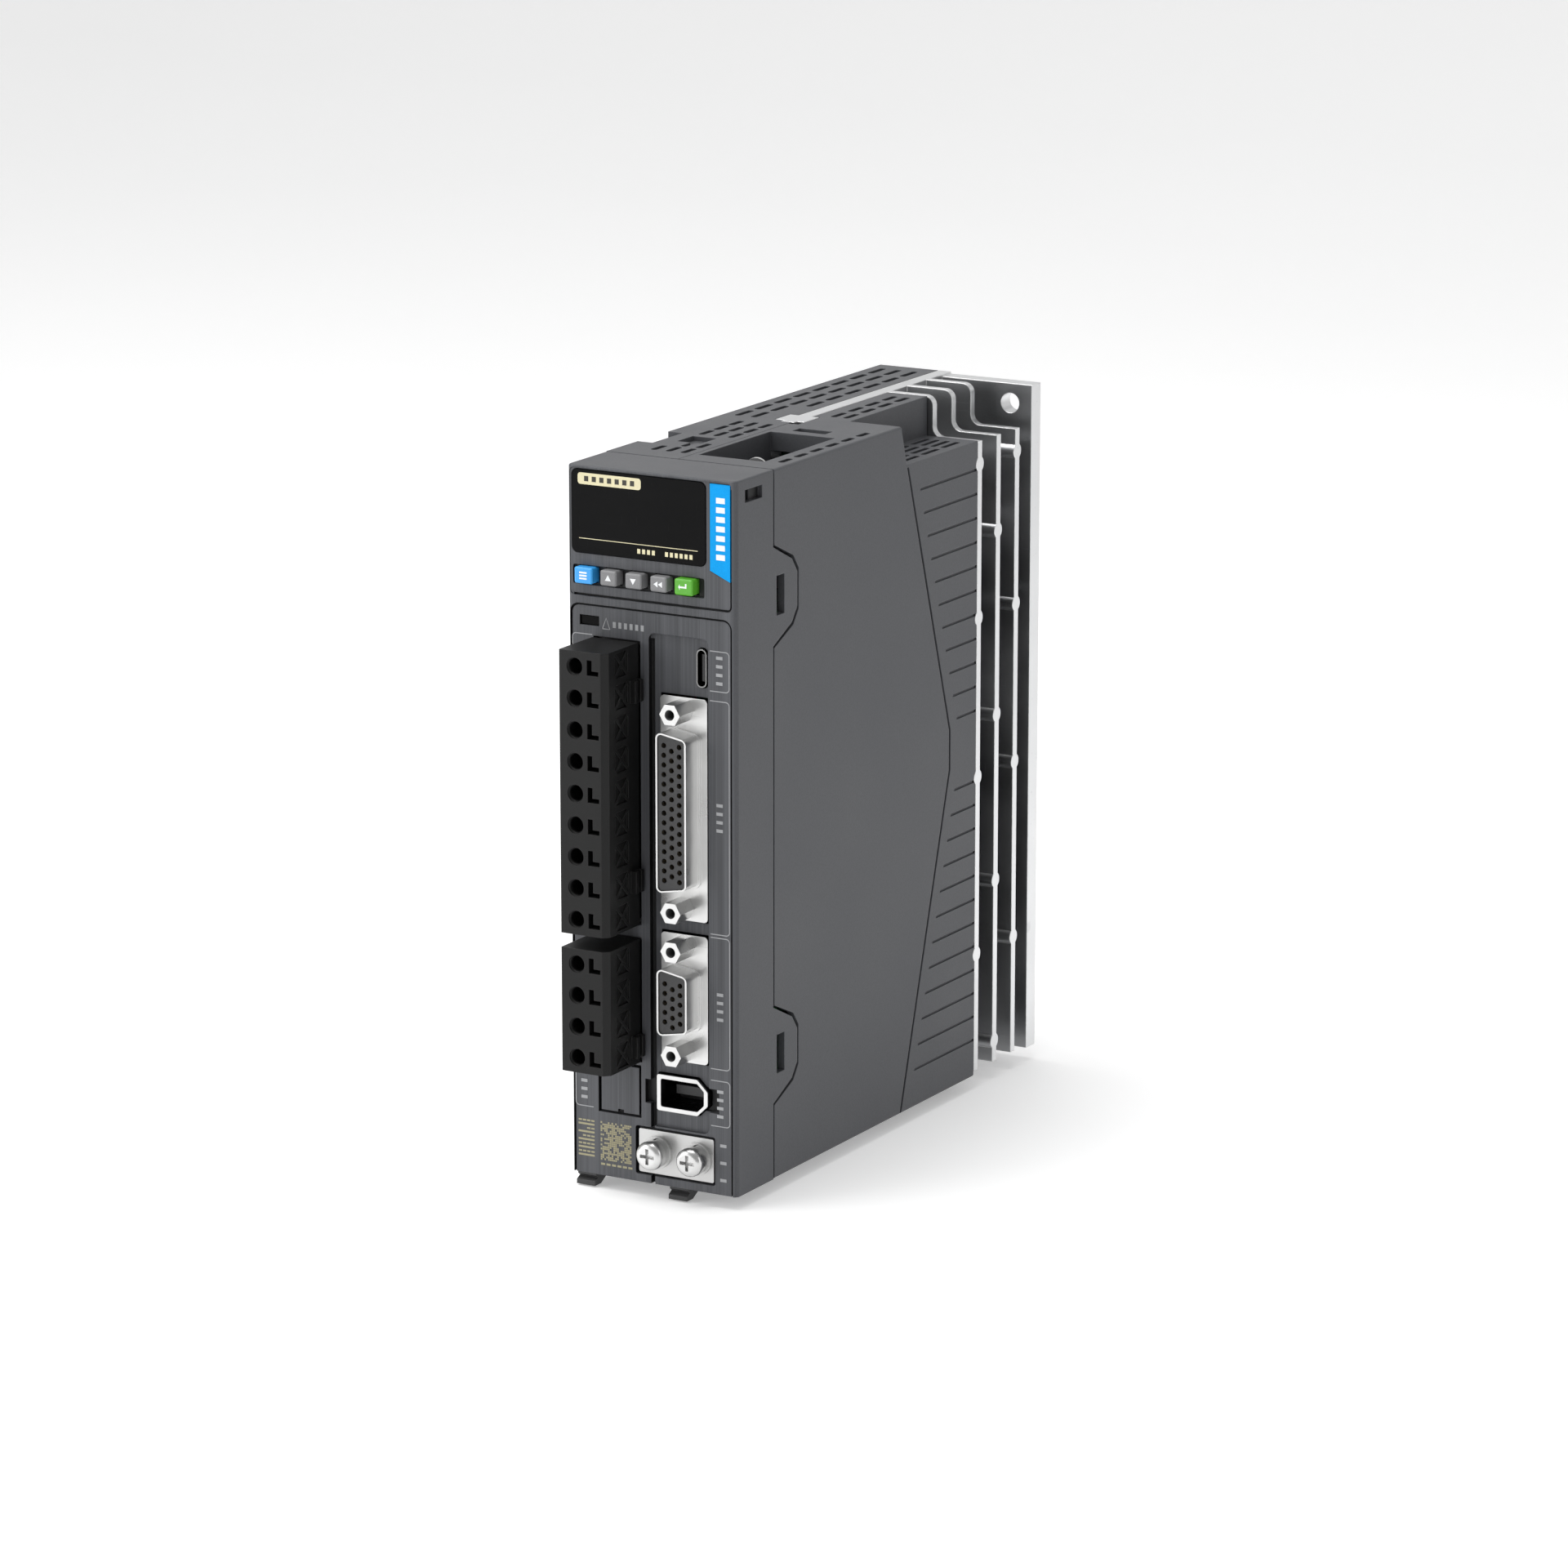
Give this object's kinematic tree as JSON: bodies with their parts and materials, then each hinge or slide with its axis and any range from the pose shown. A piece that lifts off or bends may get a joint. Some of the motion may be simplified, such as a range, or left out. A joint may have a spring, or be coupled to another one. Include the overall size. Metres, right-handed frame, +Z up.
{
  "type": "servo drive",
  "caption": "Slim book-type servo drive with cast heat sink, keypad, display window, pluggable terminals, D connectors and earth screws.",
  "frame": {"origin": "centre of the width and height on the flat back mounting face", "axes": "+Y out of the back mounting face, so the keypad and connectors face -Y; +Z up; +X to the right seen from the front"},
  "size_m": [0.045, 0.165, 0.173],
  "materials": {
    "housing": "fine textured dark grey moulding",
    "window": "glossy black window",
    "strip": "satin blue inlay",
    "key_blue": "satin blue key",
    "key_grey": "satin grey key",
    "key_green": "satin green key",
    "sink": "cast, bright machined edges",
    "plug": "black moulding",
    "black_part": "black moulding",
    "plated": "bright plated steel",
    "plated_plate": "zinc plated sheet",
    "contact": "gold flash",
    "clamp": "tin plated spring",
    "board": "green laminate with solder mask",
    "chip": "black encapsulant",
    "capacitor": "sleeved can",
    "winding": "taped winding",
    "choke": "enamelled copper winding",
    "relay": "pale moulding",
    "pad": "grey heat-conducting pad",
    "brass": "nickel free brass",
    "digit": "dark red display"
  },
  "bodies": {
    "drive": {"heat_sink": "sink", "left_housing": "housing", "right_cover": "housing", "front_cover": "housing", "display_window": "window", "name_strip": "strip", "display_board": "board", "digit_display": "digit", "key_switches": "chip", "charge_lamp_lens": "window", "power_header": "black_part", "power_pins": "clamp", "motor_header": "black_part", "motor_pins": "clamp", "port_blank_cover": "housing", "io_connector_shell": "plated", "io_connector_insulator": "black_part", "feedback_connector_shell": "plated", "feedback_connector_insulator": "black_part", "signal_contacts": "contact", "connector_jackscrews": "plated", "encoder_socket_shell": "plated", "encoder_socket_insert": "black_part", "usb_socket_shell": "plated", "usb_socket_insert": "black_part", "network_port_shell": "plated_plate", "network_port_insert": "black_part", "ground_plate": "plated_plate", "ground_screws": "plated", "ground_washers": "plated_plate", "spring_washers": "plated_plate", "bracket_hooks": "black_part", "power_board": "board", "control_board": "board", "board_standoffs": "brass", "board_screws": "plated", "bus_capacitors": "capacitor", "power_module": "chip", "rectifier_bridge": "chip", "thermal_pads": "pad", "module_screws": "plated", "charging_relay": "relay", "supply_transformer": "winding", "filter_choke": "choke", "line_fuse": "relay", "current_sensors": "chip", "control_chips": "chip", "board_link": "black_part", "display_link": "black_part", "housing_screws": "plated"},
    "power_plug": {"power_plug_housing": "plug", "power_plug_clamps": "clamp"},
    "motor_plug": {"motor_plug_housing": "plug", "motor_plug_clamps": "clamp"},
    "key_mode_button": {"key_mode": "key_blue"},
    "key_up_button": {"key_up": "key_grey"},
    "key_down_button": {"key_down": "key_grey"},
    "key_shift_button": {"key_shift": "key_grey"},
    "key_set_button": {"key_set": "key_green"}
  },
  "joints": [
    {"name": "power_plug_pull", "type": "slide", "parent": "drive", "child": "power_plug", "axis": [0, -1, 0], "range_m": [0, 0.014]},
    {"name": "motor_plug_pull", "type": "slide", "parent": "drive", "child": "motor_plug", "axis": [0, -1, 0], "range_m": [0, 0.014]},
    {"name": "key_mode_press", "type": "slide", "parent": "drive", "child": "key_mode_button", "axis": [0, 1, 0], "range_m": [0, 0.0008], "stiffness_N_per_m": 500, "springref_m": -0.0004},
    {"name": "key_up_press", "type": "slide", "parent": "drive", "child": "key_up_button", "axis": [0, 1, 0], "range_m": [0, 0.0008], "stiffness_N_per_m": 500, "springref_m": -0.0004},
    {"name": "key_down_press", "type": "slide", "parent": "drive", "child": "key_down_button", "axis": [0, 1, 0], "range_m": [0, 0.0008], "stiffness_N_per_m": 500, "springref_m": -0.0004},
    {"name": "key_shift_press", "type": "slide", "parent": "drive", "child": "key_shift_button", "axis": [0, 1, 0], "range_m": [0, 0.0008], "stiffness_N_per_m": 500, "springref_m": -0.0004},
    {"name": "key_set_press", "type": "slide", "parent": "drive", "child": "key_set_button", "axis": [0, 1, 0], "range_m": [0, 0.0008], "stiffness_N_per_m": 500, "springref_m": -0.0004}
  ]
}
